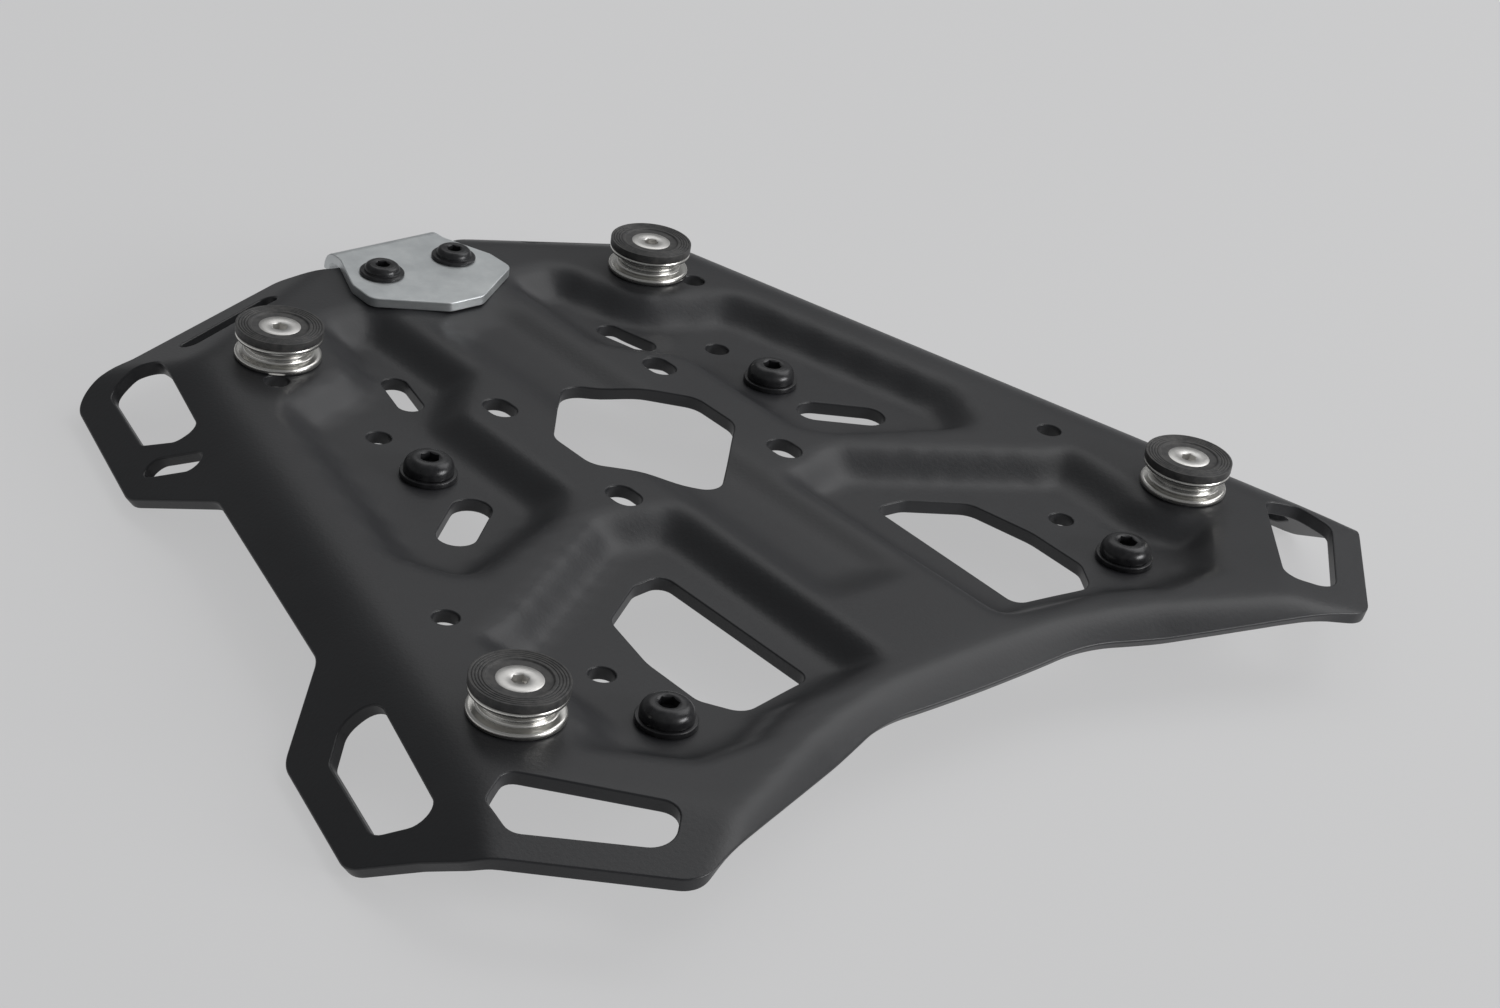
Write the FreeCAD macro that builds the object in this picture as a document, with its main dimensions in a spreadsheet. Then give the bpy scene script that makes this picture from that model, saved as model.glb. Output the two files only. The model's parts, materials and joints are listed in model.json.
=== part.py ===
import FreeCAD, Part
import math
import os
import Sketcher
from FreeCAD import Placement, Rotation, Vector

# Luggage rack plate for the tail of a motorbike, with four case studs and a latch bracket.
# Millimetres. +Z up, +Y to the rear of the bike, X across; the plate is the same left and right.
# The origin is on the underside of the pressed pockets, midway between the front and rear studs.

os.makedirs("parts", exist_ok=True)
doc = FreeCAD.newDocument("TopCaseRack")

driving = {
    # pressed plate
    "plate_thickness": 4.0,
    "pocket_depth": 7.0,
    "pocket_wall": 8.6,
    "groove_depth": 3.0,
    "groove_half_top": 16.4,
    "groove_half_floor": 7.0,
    "groove_front": -88.0,
    "groove_rear": 94.0,
    "groove_end_run": 10.0,
    # folds: angle in degrees, place on the deck or margin past the front studs, and softness
    "side_fold_angle": 38.0,
    "side_fold_taper": 0.26,
    "side_fold_softness": 7.0,
    "side_fold_margin": 8.2,
    "rear_fold_angle": 24.0,
    "rear_fold_across": 30.0,
    "rear_fold_along": 131.0,
    "rear_fold_heading": 61.0,
    "rear_fold_softness": 1.0,
    "nose_fold_angle": 10.5,
    "nose_fold_margin": 13.7,
    "nose_fold_softness": 0.5,
    "lip_angle": 35.0,
    "lip_width": 9.0,
    "lip_softness": 1.4,
    "lip_fade_start": 60.0,
    "lip_fade": 0.09,
    "front_edge_along": 132.6,
    "front_edge_slope": 0.34,
    "front_edge_turn": 37.0,
    "front_edge_softness": 16.0,
    # flat pads round the studs and bolts
    "pad_margin": 3.0,
    # hole pattern, right half; the left is its mirror image
    "rear_bolt_across": 62.8,
    "rear_bolt_along": 23.9,
    "front_bolt_across": 83.0,
    "front_bolt_along": -103.1,
    "bolt_hole_radius": 4.5,
    "rear_stud_across": 68.4,
    "rear_stud_along": 90.1,
    "front_stud_across": 120.0,
    "front_stud_along": -90.1,
    "stud_hole_radius": 3.3,
    "spare_hole_radius": 3.5,
    "bracket_bolt_across": 13.3,
    "bracket_bolt_along": 117.7,
    # case stud: turned metal spool, dark cap, countersunk screw and nut
    "spool_radius": 12.4,
    "spool_waist_radius": 9.6,
    "spool_foot": 2.1,
    "spool_waist": 4.2,
    "spool_rim": 1.5,
    "spool_chamfer": 0.4,
    "cap_radius": 12.5,
    "cap_height": 2.4,
    "cap_dish_radius": 8.4,
    "cap_dish_depth": 0.4,
    "cap_rib_depth": 0.25,
    "cap_rib_half": 0.25,
    "cap_rib_pitch": 1.0,
    "stud_screw_radius": 3.0,
    "stud_head_radius": 6.0,
    "stud_screw_length": 20.0,
    "stud_socket_flats": 4.0,
    "stud_socket_depth": 2.2,
    # nuts under the plate
    "nut_flats": 10.0,
    "nut_height": 5.0,
    # mounting bolt and washer
    "mount_shank_radius": 4.0,
    "mount_shank_length": 20.0,
    "mount_neck_radius": 3.6,
    "mount_neck_below": 1.6,
    "mount_head_radius": 7.0,
    "mount_head_height": 4.4,
    "mount_head_round": 3.2,
    "mount_socket_flats": 5.0,
    "mount_socket_depth": 2.6,
    "washer_radius": 8.0,
    "washer_bore_radius": 4.2,
    "washer_height": 1.6,
    # latch bracket and its bolts
    "bracket_thickness": 3.0,
    "bracket_lip_back": 139.2,
    "bracket_lip_half": 19.2,
    "bracket_lip_drop": 6.6,
    "bracket_bend_inside": 2.0,
    "bracket_corner_round": 4.0,
    "bracket_hole_radius": 3.2,
    "bracket_shank_radius": 3.0,
    "bracket_shank_length": 14.0,
    "bracket_head_radius": 5.4,
    "bracket_head_height": 3.3,
    "bracket_head_round": 1.9,
    "bracket_flange_radius": 6.75,
    "bracket_flange_height": 1.1,
    "bracket_socket_flats": 4.0,
    "bracket_socket_depth": 2.0,
    "shank_chamfer": 0.6,
}

# Corners of each cut-out and pocket on the right half: across, along, corner radius.
corners = {
    "rear_edge": [(20.0, 131.8, 8.0), (36.5, 138.6, 8.0), (93.9, 125.8, 8.0)],
    "front_edge": [(158.7, -125.9, 18.0), (120.4, -160.6, 9.0), (37.0, -132.6, 60.0)],
    "centre_window": [
        (0.0, -26.0, 6.0),
        (26.2, -1.2, 8.0),
        (26.2, 16.2, 8.0),
        (0.0, 45.0, 6.0),
    ],
    "front_window": [
        (38.6, -48.0, 4.0),
        (49.0, -49.0, 6.0),
        (65.5, -59.5, 7.0),
        (69.9, -80.0, 20.0),
        (69.6, -99.5, 6.0),
        (63.0, -109.5, 6.0),
        (37.6, -105.6, 4.0),
    ],
    "nose_window": [
        (136.4, -107.7, 4.0),
        (108.6, -139.0, 5.0),
        (119.4, -149.2, 7.0),
        (147.6, -124.4, 5.0),
        (145.9, -112.7, 4.0),
    ],
    "rear_pocket": [
        (22.2, 105.6, 5.0),
        (22.2, 57.6, 8.0),
        (40.8, 39.6, 10.0),
        (40.8, -9.5, 8.0),
        (50.0, -19.0, 8.0),
        (92.5, -36.0, 10.0),
        (103.5, -14.0, 10.0),
        (84.0, 66.0, 12.0),
        (54.0, 76.0, 10.0),
        (46.0, 105.6, 8.0),
    ],
    "front_pocket": [
        (18.5, -30.0, 5.0),
        (43.2, -24.0, 8.0),
        (96.0, -54.6, 8.0),
        (107.6, -57.5, 6.0),
        (106.0, -90.0, 8.0),
        (118.0, -104.5, 8.0),
        (94.0, -127.4, 10.0),
        (74.0, -127.4, 10.0),
        (58.0, -121.0, 10.0),
        (20.5, -116.0, 6.0),
    ],
    "bracket_edge": [(6.0, 92.0, 0.0), (26.0, 105.0, 0.0), (25.7, 115.2, 0.0)],
}

# Corners of what lies on the folded sides: distance down the side, distance forwards, radius.
sideCorners = {
    "rear_ear": [(34.7, -94.2, 11.0), (35.9, -37.4, 8.0), (15.4, -10.3, 8.0)],
    "front_ear": [(15.8, 69.4, 8.0), (36.3, 93.7, 11.0), (36.6, 137.1, 9.0), (21.5, 150.6, 12.0)],
    "rear_ear_window": [
        (6.3, -92.0, 5.0),
        (24.8, -84.9, 5.0),
        (24.6, -54.1, 4.0),
        (16.0, -45.1, 4.0),
        (8.6, -44.0, 3.0),
    ],
    "front_ear_window": [
        (8.4, 94.7, 5.0),
        (19.6, 95.0, 5.0),
        (26.6, 103.7, 4.0),
        (26.8, 133.9, 5.0),
        (11.0, 144.4, 4.0),
    ],
}

# Slots with round ends on the folded sides: down and forwards of both end centres, and the radius.
sideSlots = {
    "ear_slot": [(24.6, -41.3, 15.6, -32.9, 2.8)],
}

# Long slots with round ends: across and along of both end centres, and the radius.
slots = {
    "key_slot": [(29.3, 35.3, 29.3, 38.3, 4.0)],
    "fore_key_slot": [(29.3, -20.5, 29.3, -17.5, 4.0)],
    "narrow_slot": [(39.8, 72.1, 43.1, 59.9, 3.75)],
    "strap_slot": [(63.1, 3.5, 74.9, -5.9, 5.5)],
    "edge_slot": [(80.4, 116.6, 49.0, 125.0, 2.9)],
}

spareHoles = {
    "inner_spare": (62.4, 47.9),
    "front_spare": (83.4, -78.5),
    "side_spare": (109.2, -46.9),
    "stud_spare": (76.9, 77.8),
}

sheet = doc.addObject("Spreadsheet::Sheet", "Sizes")
entries = dict(driving)
for name, rows in list(corners.items()) + list(sideCorners.items()):
    for number, (first, second, radius) in enumerate(rows, 1):
        entries[f"{name}_{number}_first"] = first
        entries[f"{name}_{number}_second"] = second
        if radius:
            entries[f"{name}_{number}_round"] = radius
for name, rows in slots.items():
    for value, word in zip(rows[0], ("across", "along", "far_across", "far_along", "radius")):
        entries[f"{name}_{word}"] = value
for name, rows in sideSlots.items():
    for value, word in zip(rows[0], ("down", "forwards", "far_down", "far_forwards", "radius")):
        entries[f"{name}_{word}"] = value
for name, (across, along) in spareHoles.items():
    entries[f"{name}_across"] = across
    entries[f"{name}_along"] = along
for row, (name, value) in enumerate(entries.items(), 1):
    sheet.set(f"A{row}", name)
    sheet.set(f"B{row}", str(value))
    sheet.setAlias(f"B{row}", name)
doc.recompute()

# The folds keep clear of the rims of the front studs.
worked = {
    "side_fold_across": "=front_stud_across + spool_radius + side_fold_margin"
                        " + side_fold_taper * front_stud_along",
    "nose_fold_reach": "=(front_stud_across - front_stud_along) / sqrt(2)"
                       " + spool_radius + nose_fold_margin",
}
for row, (name, formula) in enumerate(worked.items(), len(entries) + 1):
    sheet.set(f"A{row}", name)
    sheet.set(f"B{row}", formula)
    sheet.setAlias(f"B{row}", name)
doc.recompute()


def size(name):
    return float(sheet.get(name))


def cornerRows(name, rows):
    words = ("first", "second", "round")
    numbers = range(1, len(rows) + 1)
    return [tuple(size(f"{name}_{number}_{word}") for word in words) for number in numbers]


thickness = size("plate_thickness")
deckTop = thickness + size("pocket_depth")

sideSlope = math.tan(math.radians(size("side_fold_angle")))
sideLean = math.cos(math.radians(size("side_fold_angle")))
taper = size("side_fold_taper")
foldAcross = 1 / math.hypot(1, taper)
foldAlong = taper * foldAcross


def onSide(down, forwards, radius):
    # a place on the folded side, seen from above
    out = down * sideLean + size("side_fold_across") * foldAcross
    return (
        out * foldAcross + forwards * foldAlong,
        out * foldAlong - forwards * foldAcross,
        radius,
    )


def mirrored(rows):
    return [(-across, along, radius) for across, along, radius in rows]


def sideRows(name):
    return [onSide(*row) for row in cornerRows(name, sideCorners[name])]


edge = cornerRows("rear_edge", corners["rear_edge"]) + sideRows("rear_ear") + sideRows("front_ear")
edge += cornerRows("front_edge", corners["front_edge"])

# Heights of the pressed surface are worked out on an even grid a little larger than the outline.
gridStep = 4.0
blankMargin = 14.0


def gridEnd(reach):
    return gridStep * math.ceil((abs(reach) + blankMargin) / gridStep)


blankHalf = gridEnd(max(across for across, along, radius in edge))
blankFront = -gridEnd(min(along for across, along, radius in edge))
blankRear = gridEnd(max(along for across, along, radius in edge))


def blend(first, second, softness):
    overlap = max(softness - abs(first - second), 0.0) / softness
    return min(first, second) - overlap * overlap * softness / 4


def held(value):
    return max(0.0, min(1.0, value))


def roundedCorners(rows):
    # each corner as the start, middle and end of its round
    spots = [Vector(row[0], row[1], 0) for row in rows]
    rounds = []
    for index, spot in enumerate(spots):
        before = (spots[index - 1] - spot).normalize()
        after = (spots[(index + 1) % len(spots)] - spot).normalize()
        half = before.getAngle(after) / 2
        reach = rows[index][2] / math.tan(half)
        middle = (before + after).normalize() * (rows[index][2] / math.sin(half) - rows[index][2])
        rounds.append((spot + before * reach, spot + middle, spot + after * reach))
    return rounds


def roundedWire(rows):
    rounds = roundedCorners(rows)
    edges = []
    for index, (start, middle, end) in enumerate(rounds):
        following = rounds[(index + 1) % len(rounds)][0]
        edges.append(Part.Arc(start, middle, end).toShape())
        if (following - end).Length > 0.001:
            edges.append(Part.LineSegment(end, following).toShape())
    return Part.Wire(edges)


def roundedOutline(rows, steps=4):
    # the same loop as a fine polygon, for measuring the distance to its edge
    points = []
    for start, middle, end in roundedCorners(rows):
        arc = Part.Arc(start, middle, end)
        span = arc.LastParameter - arc.FirstParameter
        points += [arc.value(arc.FirstParameter + span * k / steps) for k in range(steps + 1)]
    return [(point.x, point.y) for point in points]


def depthInside(loop, across, along):
    nearest = 1e6
    within = False
    for index, (endAcross, endAlong) in enumerate(loop):
        startAcross, startAlong = loop[index - 1]
        runAcross = endAcross - startAcross
        runAlong = endAlong - startAlong
        toAcross = across - startAcross
        toAlong = along - startAlong
        run = runAcross * runAcross + runAlong * runAlong
        if run < 1e-9:
            continue
        share = held((toAcross * runAcross + toAlong * runAlong) / run)
        nearest = min(nearest, math.hypot(toAcross - share * runAcross, toAlong - share * runAlong))
        if (startAlong > along) != (endAlong > along):
            if across < runAcross * toAlong / runAlong + startAcross:
                within = not within
    return nearest if within else -nearest


pocketNames = ("rear_pocket", "front_pocket")
pocketLoops = [roundedOutline(cornerRows(name, corners[name])) for name in pocketNames]
studSpots = [(size(f"{end}_stud_across"), size(f"{end}_stud_along")) for end in ("rear", "front")]
raisedPads = [(across, along, size("cap_radius") + size("pad_margin")) for across, along in studSpots]


def deckHeight(across, along):
    away = abs(across)
    side = deckTop - sideSlope * (foldAcross * (away - size("side_fold_across")) + foldAlong * along)
    level = blend(deckTop, side, size("side_fold_softness"))
    heading = math.radians(size("rear_fold_heading"))
    past = math.cos(heading) * (away - size("rear_fold_across"))
    past += math.sin(heading) * (along - size("rear_fold_along"))
    corner = deckTop - math.tan(math.radians(size("rear_fold_angle"))) * past
    level = blend(level, corner, size("rear_fold_softness"))
    turn = away - size("front_edge_turn")
    eased = (turn + math.hypot(turn, size("front_edge_softness"))) / 2
    front = size("front_edge_along") + size("front_edge_slope") * eased
    width = size("lip_width") - size("lip_fade") * max(0, away - size("lip_fade_start"))
    lip = deckTop - math.tan(math.radians(size("lip_angle"))) * (width - along - front)
    level = blend(level, lip, size("lip_softness"))
    nose = math.tan(math.radians(size("nose_fold_angle")))
    nose = deckTop - nose * ((away - along) / math.sqrt(2) - size("nose_fold_reach"))
    return blend(level, nose, size("nose_fold_softness"))


def pressedHeight(across, along):
    away = abs(across)
    sunk = 0.0
    for loop in pocketLoops:
        sunk = max(sunk, size("pocket_depth") * held(depthInside(loop, away, along) / size("pocket_wall")))
    for padAcross, padAlong, reach in raisedPads:
        clear = math.hypot(away - padAcross, along - padAlong) - reach
        sunk = min(sunk, size("pocket_depth") * held(clear / size("pocket_wall")))
    grooveWall = size("groove_half_top") - size("groove_half_floor")
    groove = size("groove_depth") * held((size("groove_half_top") - away) / grooveWall)
    groove *= held((along - size("groove_front")) / size("groove_end_run"))
    groove *= held((size("groove_rear") - along) / size("groove_end_run"))
    return deckHeight(across, along) - max(sunk, groove)


def poleSpots(start, end):
    # where the control points stand so that the surface runs evenly along its grid
    spans = int(round((end - start) / gridStep))
    knots = [0] * 3 + list(range(spans + 1)) + [spans] * 3
    spots = [start + gridStep * sum(knots[k + 1:k + 4]) / 3 for k in range(spans + 3)]
    return spots, [start + gridStep * k for k in range(spans + 1)], [4] + [1] * (spans - 1) + [4]


acrossSpots, acrossKnots, acrossMults = poleSpots(-blankHalf, blankHalf)
alongSpots, alongKnots, alongMults = poleSpots(blankFront, blankRear)
heights = {}
for across in acrossSpots:
    for along in alongSpots:
        key = (round(abs(across), 3), round(along, 3))
        if key not in heights:
            heights[key] = pressedHeight(*key)
poles = [
    [Vector(across, along, heights[(round(abs(across), 3), round(along, 3))]) for along in alongSpots]
    for across in acrossSpots
]
pressed = Part.BSplineSurface()
pressed.buildFromPolesMultsKnots(
    poles, acrossMults, alongMults, acrossKnots, alongKnots, False, False, 3, 3
)


cutFloor = min(heights.values()) - blankMargin
cutHeight = deckTop + blankMargin - cutFloor


def cutter(wire):
    body = Part.Face(wire).extrude(Vector(0, 0, cutHeight))
    body.translate(Vector(0, 0, cutFloor))
    return body


def slotWire(across, along, farAcross, farAlong, radius):
    start = Vector(across, along, 0)
    end = Vector(farAcross, farAlong, 0)
    ahead = (end - start).normalize() * radius
    aside = Vector(-ahead.y, ahead.x, 0)
    return Part.Wire([
        Part.Arc(start + aside, start - ahead, start - aside).toShape(),
        Part.LineSegment(start - aside, end - aside).toShape(),
        Part.Arc(end - aside, end + ahead, end + aside).toShape(),
        Part.LineSegment(end + aside, start + aside).toShape(),
    ])


plateFace = pressed.toShape().common(cutter(roundedWire(edge + mirrored(edge)[::-1])))

cutters = []
window = cornerRows("centre_window", corners["centre_window"])
cutters.append(cutter(roundedWire(window + mirrored(window[1:3])[::-1])))
loops = [cornerRows(name, corners[name]) for name in ("front_window", "nose_window")]
loops += [sideRows(name) for name in ("rear_ear_window", "front_ear_window")]
for loop in loops:
    cutters += [cutter(roundedWire(loop)), cutter(roundedWire(mirrored(loop)))]
for name in slots:
    across, along, farAcross, farAlong, radius = (
        size(f"{name}_{word}") for word in ("across", "along", "far_across", "far_along", "radius")
    )
    for side in (1, -1):
        cutters.append(cutter(slotWire(side * across, along, side * farAcross, farAlong, radius)))
for name in sideSlots:
    down, forwards, farDown, farForwards, radius = (
        size(f"{name}_{word}") for word in ("down", "forwards", "far_down", "far_forwards", "radius")
    )
    across, along, radius = onSide(down, forwards, radius)
    farAcross, farAlong, radius = onSide(farDown, farForwards, radius)
    for side in (1, -1):
        cutters.append(cutter(slotWire(side * across, along, side * farAcross, farAlong, radius)))

# The round holes come from one sketch, its centres and radii tied to the sheet.
holeSketch = doc.addObject("Sketcher::SketchObject", "HolePattern")


def tie(item, kind, target, name, sign=1):
    value = sign * size(name)
    number = item.addConstraint(Sketcher.Constraint(kind, *target, value))
    item.setExpression(f"Constraints[{number}]", f"{'-' if sign < 0 else ''}Sizes.{name}")


holePlaces = [(name, "bolt_hole_radius") for name in ("rear_bolt", "front_bolt")]
holePlaces += [(name, "stud_hole_radius") for name in ("rear_stud", "front_stud", "bracket_bolt")]
holePlaces += [(name, "spare_hole_radius") for name in spareHoles]
for name, radiusName in holePlaces:
    for side in (1, -1):
        centre = Vector(side * size(f"{name}_across"), size(f"{name}_along"), 0)
        ring = holeSketch.addGeometry(Part.Circle(centre, Vector(0, 0, 1), size(radiusName)))
        tie(holeSketch, "Radius", (ring,), radiusName)
        tie(holeSketch, "DistanceX", (-1, 1, ring, 3), f"{name}_across", side)
        tie(holeSketch, "DistanceY", (-1, 1, ring, 3), f"{name}_along")
doc.recompute()
drills = [cutter(Part.Wire([ring])) for ring in holeSketch.Shape.Edges]

plateFace = plateFace.cut(cutters)
plate = doc.addObject("Part::Feature", "rack_plate")
plate.Label = "rack_plate"
blank = plateFace.Faces[0].makeOffsetShape(-thickness, 0.01, fill=True)
plate.Shape = blank.cut(drills).Solids[0]
plate.Placement = Placement()

pieces = [plate]


def originPlane(body, role):
    return [item for item in body.Origin.OriginFeatures if item.Role == role][0]


def newSketch(body, role, name):
    sketch = body.newObject("Sketcher::SketchObject", name)
    sketch.AttachmentSupport = [(originPlane(body, role), "")]
    sketch.MapMode = "FlatFace"
    return sketch


def amount(text):
    # the value of a short sum such as "cap_height - 0.5 * cap_dish_depth"
    total = 0.0
    sign = 1
    factor = 1.0
    for word in text.split():
        if word in "+-":
            sign = 1 if word == "+" else -1
            factor = 1.0
        elif word == "*":
            continue
        elif word[0].isdigit():
            factor = float(word)
            if text.strip() == word:
                return factor
        else:
            total += sign * factor * size(word)
    return total


def linked(text):
    return " ".join("Sizes." + word if word[0].isalpha() else word for word in text.split())


def fix(sketch, kind, target, text):
    # ties a length in the sketch to a sum of sizes
    number = sketch.addConstraint(Sketcher.Constraint(kind, *target, amount(text)))
    sketch.setExpression(f"Constraints[{number}]", linked(text))


def drawLoop(sketch, places):
    # a closed loop of straight lines, every corner tied to the sheet; "0" lies on an axis
    spots = [Vector(amount(across), amount(along), 0) for across, along in places]
    first = sketch.GeometryCount
    for index, spot in enumerate(spots):
        sketch.addGeometry(Part.LineSegment(spot, spots[(index + 1) % len(spots)]))
    for index, (across, along) in enumerate(places):
        line = first + index
        following = first + (index + 1) % len(places)
        sketch.addConstraint(Sketcher.Constraint("Coincident", line, 2, following, 1))
        if across == "0":
            sketch.addConstraint(Sketcher.Constraint("PointOnObject", line, 1, -2))
        else:
            fix(sketch, "DistanceX", (-1, 1, line, 1), across)
        if along == "0":
            sketch.addConstraint(Sketcher.Constraint("PointOnObject", line, 1, -1))
        else:
            fix(sketch, "DistanceY", (-1, 1, line, 1), along)


def drawRing(sketch, radius, across="0", along="0"):
    centre = Vector(amount(across), amount(along), 0)
    ring = sketch.addGeometry(Part.Circle(centre, Vector(0, 0, 1), amount(radius)))
    fix(sketch, "Radius", (ring,), radius)
    if across == "0" and along == "0":
        sketch.addConstraint(Sketcher.Constraint("Coincident", ring, 3, -1, 1))
    else:
        fix(sketch, "DistanceX", (-1, 1, ring, 3), across)
        fix(sketch, "DistanceY", (-1, 1, ring, 3), along)


def drawHexagon(sketch, flats):
    half = f"0.5 * {flats}"
    wide = f"{1 / math.sqrt(3):.9f} * {flats}"
    narrow = f"{0.5 / math.sqrt(3):.9f} * {flats}"
    drawLoop(sketch, [
        (wide, "0"), (narrow, half), ("- " + narrow, half),
        ("- " + wide, "0"), ("- " + narrow, "- " + half), (narrow, "- " + half),
    ])


def turned(body, places):
    sketch = newSketch(body, "XZ_Plane", body.Name + "_profile")
    drawLoop(sketch, places)
    turn = body.newObject("PartDesign::Revolution", body.Name + "_turned")
    turn.Profile = sketch
    turn.ReferenceAxis = (sketch, ["V_Axis"])
    turn.Angle = 360
    sketch.Visibility = False
    return turn


def raised(body, sketch, height):
    pad = body.newObject("PartDesign::Pad", sketch.Name + "_raised")
    pad.Profile = sketch
    pad.setExpression("Length", linked(height))
    return pad


def socket(body, flats, top, depth):
    sketch = newSketch(body, "XY_Plane", body.Name + "_socket")
    drawHexagon(sketch, flats)
    sketch.setExpression("AttachmentOffset.Base.z", linked(top))
    pocket = body.newObject("PartDesign::Pocket", body.Name + "_socket_cut")
    pocket.Profile = sketch
    pocket.setExpression("Length", linked(depth))
    doc.recompute()
    return pocket


def softened(body, radius, ring, level):
    # rounds the circular edge of this radius at this height
    doc.recompute()
    before = body.Tip
    wanted = []
    for number, line in enumerate(before.Shape.Edges, 1):
        if line.Curve.TypeId != "Part::GeomCircle":
            continue
        offLevel = abs(line.BoundBox.ZMax - amount(level))
        if abs(line.Curve.Radius - amount(ring)) < 0.001 and offLevel < 0.001:
            wanted.append(f"Edge{number}")
    soft = body.newObject("PartDesign::Fillet", body.Name + "_rounded")
    soft.Base = (before, wanted)
    soft.setExpression("Radius", linked(radius))
    return soft


def newPiece(name, across, along, up):
    # a body of its own; across and along name the cells, with a minus for the left side
    body = doc.addObject("PartDesign::Body", name)
    body.Label = name
    for axis, text in (("x", across), ("y", along), ("z", up)):
        body.setExpression(f"Placement.Base.{axis}", linked(text))
    pieces.append(body)
    return body


deckLevel = "plate_thickness + pocket_depth"
spoolTop = "spool_foot + spool_waist + spool_rim"
capFloor = "cap_height - cap_dish_depth"
sides = (("left", ""), ("right", "- "))
screwTop = f"{spoolTop} + {capFloor}"


def makeSpool(name, across, along):
    body = newPiece(name, across, along, deckLevel)
    waistTop = "spool_foot + spool_waist"
    headSeat = "stud_head_radius - cap_height + cap_dish_depth"
    seatFoot = "- stud_head_radius + cap_height - cap_dish_depth + stud_hole_radius"
    turned(body, [
        ("stud_hole_radius", "0"),
        ("spool_radius - spool_chamfer", "0"),
        ("spool_radius", "spool_chamfer"),
        ("spool_radius", "spool_foot - spool_chamfer"),
        ("spool_radius - spool_chamfer", "spool_foot"),
        ("spool_waist_radius + spool_chamfer", "spool_foot"),
        ("spool_waist_radius", "spool_foot + spool_chamfer"),
        ("spool_waist_radius", waistTop + " - spool_chamfer"),
        ("spool_waist_radius + spool_chamfer", waistTop),
        ("spool_radius - spool_chamfer", waistTop),
        ("spool_radius", waistTop + " + spool_chamfer"),
        ("spool_radius", spoolTop + " - 0.5 * spool_chamfer"),
        ("spool_radius - 0.5 * spool_chamfer", spoolTop),
        (headSeat, spoolTop),
        ("stud_hole_radius", f"{spoolTop} {seatFoot}"),
    ])
    return body


def makeCap(name, across, along):
    body = newPiece(name, across, along, f"{deckLevel} + {spoolTop}")
    places = [
        ("stud_head_radius - cap_height + cap_dish_depth", "0"),
        ("cap_radius - spool_chamfer", "0"),
        ("cap_radius", "spool_chamfer"),
        ("cap_radius", "cap_height - spool_chamfer"),
        ("cap_radius - spool_chamfer", "cap_height"),
    ]
    for turnNumber in (1, 2, 3):
        middle = f"cap_radius - {turnNumber} * cap_rib_pitch"
        places += [
            (middle + " + cap_rib_half", "cap_height"),
            (middle, "cap_height - cap_rib_depth"),
            (middle + " - cap_rib_half", "cap_height"),
        ]
    places += [
        ("cap_dish_radius", "cap_height"),
        ("cap_dish_radius - cap_dish_depth", capFloor),
        ("stud_head_radius", capFloor),
    ]
    turned(body, places)
    return body


def makeStudScrew(name, across, along):
    body = newPiece(name, across, along, f"{deckLevel} + {screwTop}")
    turned(body, [
        ("0", "0"),
        ("0", "- stud_screw_length"),
        ("stud_screw_radius - shank_chamfer", "- stud_screw_length"),
        ("stud_screw_radius", "- stud_screw_length + shank_chamfer"),
        ("stud_screw_radius", "- stud_head_radius + stud_screw_radius"),
        ("stud_head_radius", "0"),
    ])
    socket(body, "stud_socket_flats", "0", "stud_socket_depth")
    return body


def makeNut(name, across, along, bore, up):
    body = newPiece(name, across, along, up)
    sketch = newSketch(body, "XY_Plane", name + "_hexagon")
    drawHexagon(sketch, "nut_flats")
    drawRing(sketch, bore)
    raised(body, sketch, "nut_height")
    return body


def makeButtonBolt(name, across, along, up, part):
    body = newPiece(name, across, along, up)
    places = [
        ("0", f"{part}_head_height"),
        ("0", f"- {part}_shank_length"),
        (f"{part}_shank_radius - shank_chamfer", f"- {part}_shank_length"),
        (f"{part}_shank_radius", f"- {part}_shank_length + shank_chamfer"),
    ]
    if part == "bracket":
        places += [
            ("bracket_shank_radius", "0"),
            ("bracket_flange_radius", "0"),
            ("bracket_flange_radius", "bracket_flange_height"),
            ("bracket_head_radius", "bracket_flange_height"),
        ]
    else:
        # the shank is thinner than the thread where it passes the washer and the plate
        neckEnd = "- plate_thickness - washer_height - mount_neck_below"
        places += [
            ("mount_shank_radius", neckEnd),
            ("mount_neck_radius", neckEnd),
            ("mount_neck_radius", "0"),
            ("mount_head_radius", "0"),
        ]
    places.append((f"{part}_head_radius", f"{part}_head_height"))
    turned(body, places)
    softened(body, f"{part}_head_round", f"{part}_head_radius", f"{part}_head_height")
    socket(body, f"{part}_socket_flats", f"{part}_head_height", f"{part}_socket_depth")
    return body


def makeWasher(name, across, along):
    body = newPiece(name, across, along, "plate_thickness")
    sketch = newSketch(body, "XY_Plane", name + "_rings")
    drawRing(sketch, "washer_radius")
    drawRing(sketch, "washer_bore_radius")
    raised(body, sketch, "washer_height")
    return body


for end in ("rear", "front"):
    for side, sign in sides:
        stud = (f"{sign}{end}_stud_across", f"{end}_stud_along")
        makeSpool(f"{end}_{side}_stud_spool", *stud)
        makeCap(f"{end}_{side}_stud_cap", *stud)
        makeStudScrew(f"{end}_{side}_stud_screw", *stud)
        makeNut(f"{end}_{side}_stud_nut", *stud, "stud_screw_radius", "pocket_depth - nut_height")
        bolt = (f"{sign}{end}_bolt_across", f"{end}_bolt_along")
        makeWasher(f"{end}_{side}_mounting_washer", *bolt)
        makeButtonBolt(f"{end}_{side}_mounting_bolt", *bolt, "plate_thickness + washer_height", "mount")

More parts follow.
